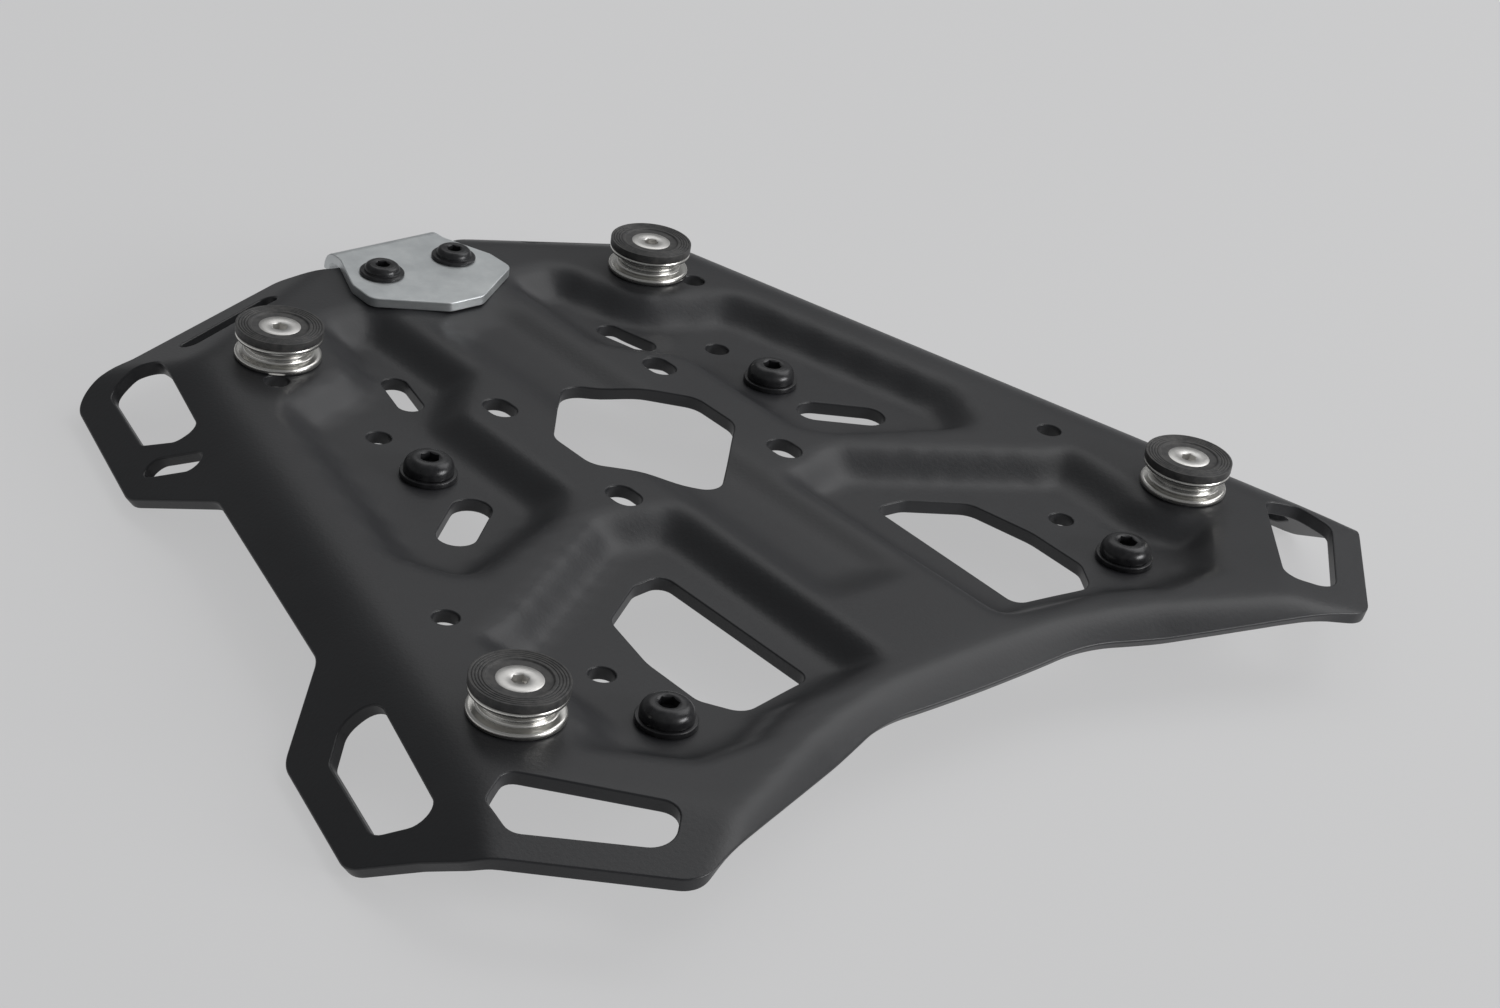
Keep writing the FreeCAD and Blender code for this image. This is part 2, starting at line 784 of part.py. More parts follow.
# Latch bracket: a flat tongue on the deck, its rear edge rolled down behind the plate.
bracket = newPiece("latch_bracket", "0", "0", deckLevel)
flat = newSketch(bracket, "XY_Plane", "bracket_flat")
bracketTurns = range(1, len(corners["bracket_edge"]) + 1)
right = [(f"bracket_edge_{number}_first", f"bracket_edge_{number}_second") for number in bracketTurns]
bendStart = "bracket_lip_back - 2 * bracket_thickness - bracket_bend_inside"
right.append(("bracket_lip_half", bendStart))
drawLoop(flat, right + [("- " + across, along) for across, along in right[::-1]])
raised(bracket, flat, "bracket_thickness")
doc.recompute()
turns = [tuple(size(name) for name in place) for place in right[:len(bracketTurns)]]


def uprightEdges(shape, places):
    found = []
    for number, line in enumerate(shape.Edges, 1):
        ends = [vertex.Point for vertex in line.Vertexes]
        if len(ends) < 2 or (ends[0] - ends[1]).cross(Vector(0, 0, 1)).Length > 0.001:
            continue
        away = [math.hypot(abs(ends[0].x) - across, ends[0].y - along) for across, along in places]
        if min(away) < 0.001:
            found.append(f"Edge{number}")
    return found


before = bracket.Tip
rounding = bracket.newObject("PartDesign::Fillet", "bracket_corners")
rounding.Base = (before, uprightEdges(before.Shape, turns))
rounding.setExpression("Radius", "Sizes.bracket_corner_round")
doc.recompute()

lip = newSketch(bracket, "YZ_Plane", "bracket_lip_profile")
inner = "bracket_lip_back - bracket_thickness"
drawLoop(lip, [
    (bendStart, "0"),
    (bendStart, "bracket_thickness"),
    ("bracket_lip_back", "bracket_thickness"),
    ("bracket_lip_back", "bracket_thickness - bracket_lip_drop"),
    (inner, "bracket_thickness - bracket_lip_drop"),
    (inner, "0"),
])
rolled = raised(bracket, lip, "2 * bracket_lip_half")
rolled.Midplane = True
doc.recompute()


def bendEdge(shape, along, up):
    for number, line in enumerate(shape.Edges, 1):
        middle = line.BoundBox.Center
        if line.BoundBox.XLength < size("bracket_lip_half"):
            continue
        if abs(middle.y - amount(along)) < 0.001 and abs(middle.z - amount(up)) < 0.001:
            return f"Edge{number}"


for along, up, radius in (
    ("bracket_lip_back", "bracket_thickness", "bracket_bend_inside + bracket_thickness"),
    (inner, "0", "bracket_bend_inside"),
):
    before = bracket.Tip
    bend = bracket.newObject("PartDesign::Fillet", "bracket_bend")
    bend.Base = (before, [bendEdge(before.Shape, along, up)])
    bend.setExpression("Radius", linked(radius))
    doc.recompute()

bores = newSketch(bracket, "XY_Plane", "bracket_bores")
for side, sign in sides:
    drawRing(bores, "bracket_hole_radius", f"{sign}bracket_bolt_across", "bracket_bolt_along")
drilled = bracket.newObject("PartDesign::Pocket", "bracket_drilled")
drilled.Profile = bores
drilled.Type = "ThroughAll"
drilled.Reversed = True
doc.recompute()

for side, sign in sides:
    bolt = (f"{sign}bracket_bolt_across", "bracket_bolt_along")
    makeButtonBolt(f"{side}_bracket_bolt", *bolt, f"{deckLevel} + bracket_thickness", "bracket")
    makeNut(f"{side}_bracket_nut", *bolt, "bracket_shank_radius", "pocket_depth - nut_height")
doc.recompute()

for item in doc.Objects:
    if {"Invalid", "Error"} & set(item.State):
        raise RuntimeError(f"{item.Label} did not rebuild: {item.State}")
for piece in pieces:
    if piece.Shape.isNull() or not piece.Shape.isValid() or len(piece.Shape.Solids) != 1:
        raise RuntimeError(f"{piece.Label} is not one good solid")
    piece.Shape.exportStep(f"parts/{piece.Label}.step")
    print(piece.Label, round(piece.Shape.Volume, 1))
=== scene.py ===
import json
import math

import bmesh
import bpy
import numpy as np
from mathutils import Matrix, Vector
from mathutils.geometry import delaunay_2d_cdt


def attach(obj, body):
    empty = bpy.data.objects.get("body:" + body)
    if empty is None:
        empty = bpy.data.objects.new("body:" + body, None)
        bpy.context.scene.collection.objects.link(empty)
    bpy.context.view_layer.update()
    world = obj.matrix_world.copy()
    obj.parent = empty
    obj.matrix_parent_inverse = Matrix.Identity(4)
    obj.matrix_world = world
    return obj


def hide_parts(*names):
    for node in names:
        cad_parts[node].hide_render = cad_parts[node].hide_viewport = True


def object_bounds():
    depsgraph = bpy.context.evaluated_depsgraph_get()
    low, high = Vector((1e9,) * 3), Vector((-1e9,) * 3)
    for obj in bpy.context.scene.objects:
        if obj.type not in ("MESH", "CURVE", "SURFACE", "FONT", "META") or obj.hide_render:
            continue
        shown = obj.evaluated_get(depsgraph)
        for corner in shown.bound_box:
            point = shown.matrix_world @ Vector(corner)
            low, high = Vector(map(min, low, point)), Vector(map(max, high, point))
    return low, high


# Lengths in the dictionaries are millimetres; meshes are made in metres in the row frame.
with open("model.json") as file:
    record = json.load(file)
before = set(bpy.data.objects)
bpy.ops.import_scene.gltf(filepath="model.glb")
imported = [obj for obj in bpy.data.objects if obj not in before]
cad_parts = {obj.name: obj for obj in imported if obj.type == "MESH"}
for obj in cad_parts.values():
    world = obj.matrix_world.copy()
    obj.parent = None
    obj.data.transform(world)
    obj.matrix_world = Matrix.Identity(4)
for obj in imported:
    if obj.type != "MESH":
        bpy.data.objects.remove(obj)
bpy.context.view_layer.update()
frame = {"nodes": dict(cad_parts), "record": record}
nodes = frame["nodes"]
scene = bpy.context.scene
milli = 0.001
print("loaded", len(nodes), "nodes")


def newMaterial(name, color, metallic, roughness):
    material = bpy.data.materials.new(name)
    material.use_nodes = True
    shader = material.node_tree.nodes["Principled BSDF"]
    shader.inputs["Base Color"].default_value = (*color, 1.0)
    shader.inputs["Metallic"].default_value = metallic
    shader.inputs["Roughness"].default_value = roughness
    return material, material.node_tree, shader


def addNode(tree, kind, **values):
    node = tree.nodes.new(kind)
    for key, value in values.items():
        if hasattr(node, key):
            setattr(node, key, value)
        else:
            node.inputs[key.replace("_", " ")].default_value = value
    return node


def objectNoise(tree, scale, detail, roughness, stretch):
    # noise that reads the object's own coordinates, in metres
    coordinates = addNode(tree, "ShaderNodeTexCoord")
    mapping = addNode(tree, "ShaderNodeMapping")
    mapping.inputs["Scale"].default_value = stretch
    tree.links.new(coordinates.outputs["Object"], mapping.inputs["Vector"])
    noise = addNode(tree, "ShaderNodeTexNoise", Scale=scale, Detail=detail, Roughness=roughness)
    tree.links.new(mapping.outputs["Vector"], noise.inputs["Vector"])
    return noise


def mixColors(tree, factor, first, second, low=0.35, high=0.65):
    ramp = addNode(tree, "ShaderNodeValToRGB")
    ramp.color_ramp.elements[0].position = low
    ramp.color_ramp.elements[1].position = high
    ramp.color_ramp.elements[0].color = (*first, 1.0)
    ramp.color_ramp.elements[1].color = (*second, 1.0)
    tree.links.new(factor, ramp.inputs["Fac"])
    return ramp.outputs["Color"]


def spread(tree, factor, low, high):
    mapped = addNode(tree, "ShaderNodeMapRange")
    mapped.inputs["To Min"].default_value = low
    mapped.inputs["To Max"].default_value = high
    tree.links.new(factor, mapped.inputs["Value"])
    return mapped.outputs["Result"]


def addBump(tree, shader, height, strength, distance):
    bump = addNode(tree, "ShaderNodeBump", Strength=strength, Distance=distance)
    tree.links.new(height, bump.inputs["Height"])
    tree.links.new(bump.outputs["Normal"], shader.inputs["Normal"])


# Each finish: its base colour and metal share, the noise that varies its tones or its roughness
# as scale, detail, roughness and stretch, and the bump as a noise with strength and depth.
finishValues = {
    "powderCoat": {
        "color": (0.022, 0.0225, 0.025),
        "metallic": 0.0,
        "roughness": 0.42,
        "noise": (14.0, 3.0, 0.6, (1, 1, 1)),
        "tones": ((0.018, 0.0185, 0.021), (0.026, 0.0265, 0.029)),
        "roughnessRange": (0.36, 0.48),
        "bumpNoise": (900.0, 2.0, 0.6, (1, 1, 1)),
        "bump": (0.25, 0.0002),
    },
    "brightSteel": {
        "color": (0.70, 0.69, 0.66),
        "metallic": 1.0,
        "roughness": 0.24,
        "noise": (60.0, 2.0, 0.5, (1, 1, 40)),
        "roughnessRange": (0.2, 0.36),
        "bump": (0.15, 0.0001),
    },
    "capPlastic": {
        "color": (0.05, 0.05, 0.05),
        "metallic": 0.0,
        "roughness": 0.5,
        "noise": (500.0, 3.0, 0.6, (1, 1, 1)),
        "tones": ((0.035, 0.035, 0.036), (0.07, 0.068, 0.066)),
        "bump": (0.2, 0.0001),
    },
    "stainless": {
        "color": (0.72, 0.71, 0.69),
        "metallic": 1.0,
        "roughness": 0.38,
        "noise": (700.0, 3.0, 0.6, (1, 1, 1)),
        "roughnessRange": (0.3, 0.5),
        "bump": (0.1, 0.0001),
    },
    "zincPlate": {
        "color": (0.63, 0.655, 0.665),
        "metallic": 0.9,
        "roughness": 0.45,
        "noise": (90.0, 5.0, 0.6, (1, 1, 1)),
        "tones": ((0.57, 0.595, 0.605), (0.69, 0.715, 0.72)),
        "roughnessRange": (0.38, 0.55),
        "bumpNoise": (200.0, 3.0, 0.6, (1, 12, 1)),
        "bump": (0.08, 0.0001),
    },
    "blackSteel": {
        "color": (0.022, 0.022, 0.024),
        "metallic": 0.3,
        "roughness": 0.38,
        "noise": (400.0, 3.0, 0.6, (1, 1, 1)),
        "tones": ((0.018, 0.018, 0.02), (0.035, 0.035, 0.037)),
        "roughnessRange": (0.22, 0.38),
    },
}


def newFinish(name):
    values = finishValues[name]
    material, tree, shader = newMaterial(name, values["color"], values["metallic"], values["roughness"])
    noise = objectNoise(tree, *values["noise"]).outputs["Fac"]
    if "tones" in values:
        tree.links.new(mixColors(tree, noise, *values["tones"]), shader.inputs["Base Color"])
    if "roughnessRange" in values:
        tree.links.new(spread(tree, noise, *values["roughnessRange"]), shader.inputs["Roughness"])
    if "bump" in values:
        height = objectNoise(tree, *values["bumpNoise"]).outputs["Fac"] if "bumpNoise" in values else noise
        addBump(tree, shader, height, *values["bump"])
    return material


# The finish of each material slot.
finishes = {
    "black_coat": newFinish("powderCoat"),
    "zinc_plate": newFinish("zincPlate"),
    "turned_steel": newFinish("brightSteel"),
    "black_plastic": newFinish("capPlastic"),
    "stainless": newFinish("stainless"),
    "zinc_nut": newFinish("zincPlate"),
    "black_steel": newFinish("blackSteel"),
}
for row in frame["record"]["subparts"]:
    mesh = nodes[row["node"]].data
    mesh.materials.clear()
    mesh.materials.append(finishes[row["material_slot"]])
print("materials made")

# Plate: the pressed surface on a fine even mesh, every rim rounded.
plateSizes = {
    "thickness": 4.0,
    "pocketDepth": 7.0,
    "pocketWall": 8.6,
    "grooveDepth": 3.0,
    "grooveHalfTop": 16.4,
    "grooveHalfFloor": 7.0,
    "grooveFront": -88.0,
    "grooveRear": 94.0,
    "grooveEndRun": 10.0,
    "sideFoldAngle": 38.0,
    "sideFoldTaper": 0.26,
    "sideFoldSoftness": 7.0,
    "sideFoldMargin": 8.2,
    "rearFoldAngle": 24.0,
    "rearFoldAcross": 30.0,
    "rearFoldAlong": 131.0,
    "rearFoldHeading": 61.0,
    "rearFoldSoftness": 1.0,
    "noseFoldAngle": 10.5,
    "noseFoldMargin": 13.7,
    "noseFoldSoftness": 0.5,
    "lipAngle": 35.0,
    "lipWidth": 9.0,
    "lipSoftness": 1.4,
    "lipFadeStart": 60.0,
    "lipFade": 0.09,
    "frontEdgeAlong": 132.6,
    "frontEdgeSlope": 0.34,
    "frontEdgeTurn": 37.0,
    "frontEdgeSoftness": 16.0,
    "padMargin": 3.0,
    "gridStep": 4.0,
    "blankHalf": 188.0,
    "blankFront": -176.0,
    "blankRear": 156.0,
    "rimRound": 0.5,
    "meshStep": 2.3,
}
# Corners: across, along and corner radius; on the sides: down, forwards and radius.
plateCorners = {
    "rearEdge": [[20.0, 131.8, 8.0], [36.5, 138.6, 8.0], [93.9, 125.8, 8.0]],
    "frontEdge": [[158.7, -125.9, 18.0], [120.4, -160.6, 9.0], [37.0, -132.6, 60.0]],
    "centreWindow": [[0.0, -26.0, 6.0], [26.2, -1.2, 8.0], [26.2, 16.2, 8.0], [0.0, 45.0, 6.0]],
    "frontWindow": [
        [38.6, -48.0, 4.0], [49.0, -49.0, 6.0], [65.5, -59.5, 7.0], [69.9, -80.0, 20.0],
        [69.6, -99.5, 6.0], [63.0, -109.5, 6.0], [37.6, -105.6, 4.0],
    ],
    "noseWindow": [
        [136.4, -107.7, 4.0], [108.6, -139.0, 5.0], [119.4, -149.2, 7.0], [147.6, -124.4, 5.0],
        [145.9, -112.7, 4.0],
    ],
    "rearPocket": [
        [22.2, 105.6, 5.0], [22.2, 57.6, 8.0], [40.8, 39.6, 10.0], [40.8, -9.5, 8.0],
        [50.0, -19.0, 8.0], [92.5, -36.0, 10.0], [103.5, -14.0, 10.0], [84.0, 66.0, 12.0],
        [54.0, 76.0, 10.0], [46.0, 105.6, 8.0],
    ],
    "frontPocket": [
        [18.5, -30.0, 5.0], [43.2, -24.0, 8.0], [96.0, -54.6, 8.0], [107.6, -57.5, 6.0],
        [106.0, -90.0, 8.0], [118.0, -104.5, 8.0], [94.0, -127.4, 10.0], [74.0, -127.4, 10.0],
        [58.0, -121.0, 10.0], [20.5, -116.0, 6.0],
    ],
}
sideCorners = {
    "rearEar": [[34.7, -94.2, 11.0], [35.9, -37.4, 8.0], [15.4, -10.3, 8.0]],
    "frontEar": [[15.8, 69.4, 8.0], [36.3, 93.7, 11.0], [36.6, 137.1, 9.0], [21.5, 150.6, 12.0]],
    "rearEarWindow": [
        [6.3, -92.0, 5.0], [24.8, -84.9, 5.0], [24.6, -54.1, 4.0], [16.0, -45.1, 4.0],
        [8.6, -44.0, 3.0],
    ],
    "frontEarWindow": [
        [8.4, 94.7, 5.0], [19.6, 95.0, 5.0], [26.6, 103.7, 4.0], [26.8, 133.9, 5.0],
        [11.0, 144.4, 4.0],
    ],
}
# Slots: both end centres and the radius.
plateSlots = {
    "keySlot": [29.3, 35.3, 29.3, 38.3, 4.0],
    "foreKeySlot": [29.3, -20.5, 29.3, -17.5, 4.0],
    "narrowSlot": [39.8, 72.1, 43.1, 59.9, 3.75],
    "strapSlot": [63.1, 3.5, 74.9, -5.9, 5.5],
    "edgeSlot": [80.4, 116.6, 49.0, 125.0, 2.9],
}
sideSlots = {"earSlot": [24.6, -41.3, 15.6, -32.9, 2.8]}
# Holes: across, along and radius.
plateHoles = {
    "rearBolt": [62.8, 23.9, 4.5],
    "frontBolt": [83.0, -103.1, 4.5],
    "rearStud": [68.4, 90.1, 3.3],
    "frontStud": [120.0, -90.1, 3.3],
    "bracketBolt": [13.3, 117.7, 3.3],
    "innerSpare": [62.4, 47.9, 3.5],
    "frontSpare": [83.4, -78.5, 3.5],
    "sideSpare": [109.2, -46.9, 3.5],
    "studSpare": [76.9, 77.8, 3.5],
}
# How outlines and sheets are divided.
meshRules = {
    "arcStep": 0.9,
    "shortestRun": 0.05,
    "circlePoints": 40,
    "slotEndPoints": 15,
    "rowShare": 0.87,
    "rimClear": 0.45,
    "probe": 0.01,
    "wholeRun": 500.0,
}


def roundedLoop(rows, step):
    # the corners joined by straight runs, each corner an arc of its radius
    points = []
    for index, (across, along, radius) in enumerate(rows):
        corner = np.array((across, along))
        before = np.array(rows[index - 1][:2]) - corner
        after = np.array(rows[(index + 1) % len(rows)][:2]) - corner
        before /= np.linalg.norm(before)
        after /= np.linalg.norm(after)
        half = math.acos(before @ after) / 2
        middle = corner + (before + after) / np.linalg.norm(before + after) * radius / math.sin(half)
        start = corner + before * radius / math.tan(half) - middle
        end = corner + after * radius / math.tan(half) - middle
        first = math.atan2(start[1], start[0])
        turn = (math.atan2(end[1], end[0]) - first + math.pi) % (2 * math.pi) - math.pi
        count = max(4, int(abs(turn) * radius / meshRules["arcStep"]))
        angles = first + turn * np.linspace(0, 1, count + 1)
        points += list(middle + radius * np.column_stack((np.cos(angles), np.sin(angles))))
    return spaced(np.array(points), step)


def spaced(points, step):
    # long straight runs get points of their own, and doubled points are dropped
    result = []
    for index, point in enumerate(points):
        following = points[(index + 1) % len(points)]
        run = np.linalg.norm(following - point)
        if run < meshRules["shortestRun"]:
            continue
        count = max(1, math.ceil(run / step))
        result += [point + (following - point) * k / count for k in range(count)]
    return np.array(result)


def circleLoop(across, along, radius):
    angles = np.linspace(0, 2 * math.pi, meshRules["circlePoints"], endpoint=False)
    return np.column_stack((across + radius * np.cos(angles), along + radius * np.sin(angles)))


def slotLoop(across, along, farAcross, farAlong, radius, step):
    start = np.array((across, along))
    end = np.array((farAcross, farAlong))
    heading = math.atan2(*(end - start)[::-1])
    angles = heading + math.pi / 2 + np.linspace(0, math.pi, meshRules["slotEndPoints"])
    arc = radius * np.column_stack((np.cos(angles), np.sin(angles)))
    return spaced(np.concatenate((start + arc, end - arc)), step)


def insideLoop(loop, spots):
    # signed distance: positive inside
    nearest = np.full(len(spots), 1e6)
    within = np.zeros(len(spots), bool)
    for index in range(len(loop)):
        start = loop[index - 1]
        run = loop[index] - start
        toward = spots - start
        share = np.clip(toward @ run / (run @ run), 0, 1)
        nearest = np.minimum(nearest, np.linalg.norm(toward - share[:, None] * run, axis=1))
        if abs(run[1]) > 1e-12:
            crossing = (start[1] > spots[:, 1]) != (loop[index][1] > spots[:, 1])
            within ^= crossing & (spots[:, 0] < run[0] * toward[:, 1] / run[1] + start[0])
    return np.where(within, nearest, -nearest)


def softMin(first, second, softness):
    overlap = np.maximum(softness - np.abs(first - second), 0) / softness
    return np.minimum(first, second) - overlap ** 2 * softness / 4


def pressedSurface(values):
    # heights at the poles of an even cubic surface, then the surface and its normal anywhere
    step = values["gridStep"]
    across = np.arange(-values["blankHalf"], values["blankHalf"] + 0.1, step)
    along = np.arange(values["blankFront"], values["blankRear"] + 0.1, step)
    away, spot = np.meshgrid(np.abs(across), along, indexing="ij")
    top = values["thickness"] + values["pocketDepth"]
    taper = values["sideFoldTaper"]
    outward = foldLean * (away - foldAcross + taper * spot)
    side = top - math.tan(math.radians(values["sideFoldAngle"])) * outward
    level = softMin(top, side, values["sideFoldSoftness"])
    heading = math.radians(values["rearFoldHeading"])
    past = math.cos(heading) * (away - values["rearFoldAcross"])
    past = past + math.sin(heading) * (spot - values["rearFoldAlong"])
    rear = top - math.tan(math.radians(values["rearFoldAngle"])) * past
    level = softMin(level, rear, values["rearFoldSoftness"])
    turn = away - values["frontEdgeTurn"]
    eased = (turn + np.hypot(turn, values["frontEdgeSoftness"])) / 2
    edge = values["frontEdgeAlong"] + values["frontEdgeSlope"] * eased
    width = values["lipWidth"] - values["lipFade"] * np.maximum(0, away - values["lipFadeStart"])
    lip = top - math.tan(math.radians(values["lipAngle"])) * (width - spot - edge)
    level = softMin(level, lip, values["lipSoftness"])
    reach = (plateHoles["frontStud"][0] - plateHoles["frontStud"][1]) / math.sqrt(2)
    reach += spoolSizes["radius"] + values["noseFoldMargin"]
    nose = top - math.tan(math.radians(values["noseFoldAngle"])) * ((away - spot) / math.sqrt(2) - reach)
    level = softMin(level, nose, values["noseFoldSoftness"])
    depth, wall = values["pocketDepth"], values["pocketWall"]
    sunk = np.zeros(away.shape)
    flat = np.column_stack((away.ravel(), spot.ravel()))
    for name in ("rearPocket", "frontPocket"):
        pocket = roundedLoop(plateCorners[name], meshRules["wholeRun"])
        inner = insideLoop(pocket, flat).reshape(away.shape)
        sunk = np.maximum(sunk, depth * np.clip(inner / wall, 0, 1))
    for name in ("rearStud", "frontStud"):
        clear = np.hypot(away - plateHoles[name][0], spot - plateHoles[name][1])
        clear = clear - capSizes["radius"] - values["padMargin"]
        sunk = np.minimum(sunk, depth * np.clip(clear / wall, 0, 1))
    wallRun = values["grooveHalfTop"] - values["grooveHalfFloor"]
    groove = values["grooveDepth"] * np.clip((values["grooveHalfTop"] - away) / wallRun, 0, 1)
    groove = groove * np.clip((spot - values["grooveFront"]) / values["grooveEndRun"], 0, 1)
    groove = groove * np.clip((values["grooveRear"] - spot) / values["grooveEndRun"], 0, 1)
    poles = level - np.maximum(sunk, groove)

    def surface(spots):
        column = (spots[:, 0] - across[0]) / step
        line = (spots[:, 1] - along[0]) / step
        columnStart = np.clip(np.floor(column).astype(int), 1, len(across) - 3)
        lineStart = np.clip(np.floor(line).astype(int), 1, len(along) - 3)
        weights = []
        for share in (column - columnStart, line - lineStart):
            rest = 1 - share
            value = (rest ** 3 / 6, (3 * share ** 3 - 6 * share ** 2 + 4) / 6,
                     (-3 * share ** 3 + 3 * share ** 2 + 3 * share + 1) / 6, share ** 3 / 6)
            slope = (-rest ** 2 / 2, (9 * share ** 2 - 12 * share) / 6,
                     (-9 * share ** 2 + 6 * share + 3) / 6, share ** 2 / 2)
            weights.append((value, slope))
        height = np.zeros(len(spots))
        slopes = np.zeros((len(spots), 2))
        for first in range(4):
            for second in range(4):
                pole = poles[columnStart + first - 1, lineStart + second - 1]
                height += weights[0][0][first] * weights[1][0][second] * pole
                slopes[:, 0] += weights[0][1][first] * weights[1][0][second] * pole / step
                slopes[:, 1] += weights[0][0][first] * weights[1][1][second] * pole / step
        normals = np.column_stack((-slopes, np.ones(len(spots))))
        normals /= np.linalg.norm(normals, axis=1)[:, None]
        return np.column_stack((spots, height)), normals

    return surface


def sheetMesh(name, loops, surface, thickness, rim, step):
    # a sheet with rounded rims: loops[0] is the outside, the others are cut out of it
    vertices, normals, faces, rings = [], [], [], []
    total = 0
    for index, loop in enumerate(loops):
        following = np.roll(loop, -1, axis=0)
        area = np.sum(loop[:, 0] * following[:, 1] - following[:, 0] * loop[:, 1])
        if (area > 0) != (index == 0):
            loop = loop[::-1]
        ahead = np.roll(loop, -1, axis=0) - loop
        ahead /= np.linalg.norm(ahead, axis=1)[:, None]
        tangent = ahead + np.roll(ahead, 1, axis=0)
        tangent /= np.linalg.norm(tangent, axis=1)[:, None]
        inward = np.column_stack((-tangent[:, 1], tangent[:, 0]))
        counts = []
        # the rim as two quarter rounds with the wall between them
        for angle in (0, 30, 60, 90, 90, 120, 150, 180):
            bend = math.radians(angle)
            inset = rim * (1 - math.sin(bend))
            depth = rim * (1 - math.cos(bend))
            if angle > 90 or len(counts) == 4:
                depth = thickness - rim * (1 + math.cos(bend))
            spots = loop + inward * inset
            points, upward = surface(spots)
            beside = surface(spots + tangent * meshRules["probe"])[0] - points
            within = np.cross(upward, beside)
            within /= np.linalg.norm(within, axis=1)[:, None]
            vertices.append(points - upward * depth)
            normals.append(upward * math.cos(bend) - within * math.sin(bend))
            counts.append(total)
            total += len(loop)
        for upper, lower in zip(counts, counts[1:]):
            for k in range(len(loop)):
                other = (k + 1) % len(loop)
                faces.append((upper + other, upper + k, lower + k, lower + other))
        rings.append((loop + inward * rim, counts[0], counts[-1]))
    low = loops[0].min(axis=0)
    high = loops[0].max(axis=0)
    columns = np.arange(low[0], high[0], step)
    lines = np.arange(low[1], high[1], step * meshRules["rowShare"])
    grid = np.array([(x + step / 2 * (line % 2), y) for line, y in enumerate(lines) for x in columns])
    clear = step * meshRules["rimClear"]
    keep = insideLoop(rings[0][0], grid) > clear
    for ring, top, bottom in rings[1:]:
        keep &= insideLoop(ring, grid) < -clear
    grid = grid[keep]
    flat = np.concatenate([ring for ring, top, bottom in rings] + [grid])
    topIndex, bottomIndex, edges = [], [], []
    for ring, top, bottom in rings:
        start = len(topIndex)
        topIndex += range(top, top + len(ring))
        bottomIndex += range(bottom, bottom + len(ring))
        edges += [(start + k, start + (k + 1) % len(ring)) for k in range(len(ring))]
    points, upward = surface(grid)
    topIndex += range(total, total + len(grid))
    bottomIndex += range(total + len(grid), total + 2 * len(grid))
    vertices += [points, points - upward * thickness]
    normals += [upward, -upward]
    meshed = delaunay_2d_cdt([Vector(spot) for spot in flat], edges, [], 0, 1e-6)
    triangles = meshed[2]
    origin = [source[0] for source in meshed[3]]
    triangles = [tuple(origin[corner] for corner in triangle) for triangle in triangles]
    middles = np.array([flat[list(triangle)].mean(axis=0) for triangle in triangles])
    keep = insideLoop(rings[0][0], middles) > 0
    for ring, top, bottom in rings[1:]:
        keep &= insideLoop(ring, middles) < 0
    for triangle, kept in zip(triangles, keep):
        if kept:
            first, second, third = triangle
            turning = np.cross(flat[second] - flat[first], flat[third] - flat[first])
            if turning < 0:
                second, third = third, second
            faces.append((topIndex[first], topIndex[second], topIndex[third]))
            faces.append((bottomIndex[first], bottomIndex[third], bottomIndex[second]))
    mesh = bpy.data.meshes.new(name)
    mesh.from_pydata((np.concatenate(vertices) * milli).tolist(), [], faces)
    mesh.update()
    mesh.shade_smooth()
    mesh.normals_split_custom_set_from_vertices(np.concatenate(normals).tolist())
    return mesh


def addPiece(name, mesh, material, replaced):
    item = bpy.data.objects.new(name, mesh)
    scene.collection.objects.link(item)
    mesh.materials.clear()
    mesh.materials.append(material)
    for polygon in mesh.polygons:
        polygon.material_index = 0
    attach(item, "root")
    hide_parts(*replaced)


# Case studs: a turned spool, a ribbed cap and a countersunk screw. The folds keep clear of them.
spoolSizes = {
    "radius": 12.4,
    "waistRadius": 9.6,
    "foot": 2.1,
    "waist": 4.2,
    "rim": 1.5,
    "bore": 3.3,
    "edgeRound": 0.9,
    "waistFlare": 0.5,
    "creaseDepth": 0.25,
    "creaseShare": 0.04,
}
capSizes = {
    "radius": 12.5,
    "height": 2.4,
    "dishRadius": 8.4,
    "dishDepth": 0.4,
    "ribPitch": 0.8,
    "ribDepth": 0.22,
    "ribHalf": 0.2,
    "ribRound": 0.18,
}
screwSizes = {
    "shank": 3.0,
    "length": 20.0,
    "head": 6.0,
    "socketFlats": 4.0,
    "socketDepth": 2.2,
    "pitch": 1.0,
    "tipEase": 1.0,
    "firstTurn": 0.6,
    "runOut": 1.2,
    "neck": 1.0,
    "neckEase": 0.3,
    "fitGap": 0.1,
    "rimEase": 0.3,
    "rimSoft": 0.02,
    "rimDrop": 0.1,
}
foldLean = 1 / math.hypot(1, plateSizes["sideFoldTaper"])
foldAcross = plateHoles["frontStud"][0] + spoolSizes["radius"] + plateSizes["sideFoldMargin"]
foldAcross += plateSizes["sideFoldTaper"] * plateHoles["frontStud"][1]
deckTop = plateSizes["thickness"] + plateSizes["pocketDepth"]


def onSide(down, forwards):
    # a spot on the folded side, seen from above
    skew = plateSizes["sideFoldTaper"] * foldLean
    out = down * math.cos(math.radians(plateSizes["sideFoldAngle"])) + foldAcross * foldLean
    return out * foldLean + forwards * skew, out * skew - forwards * foldLean


def sideRows(name):
    return [[*onSide(down, forwards), radius] for down, forwards, radius in sideCorners[name]]


def flipped(rows):
    return [[-across, along, radius] for across, along, radius in rows][::-1]


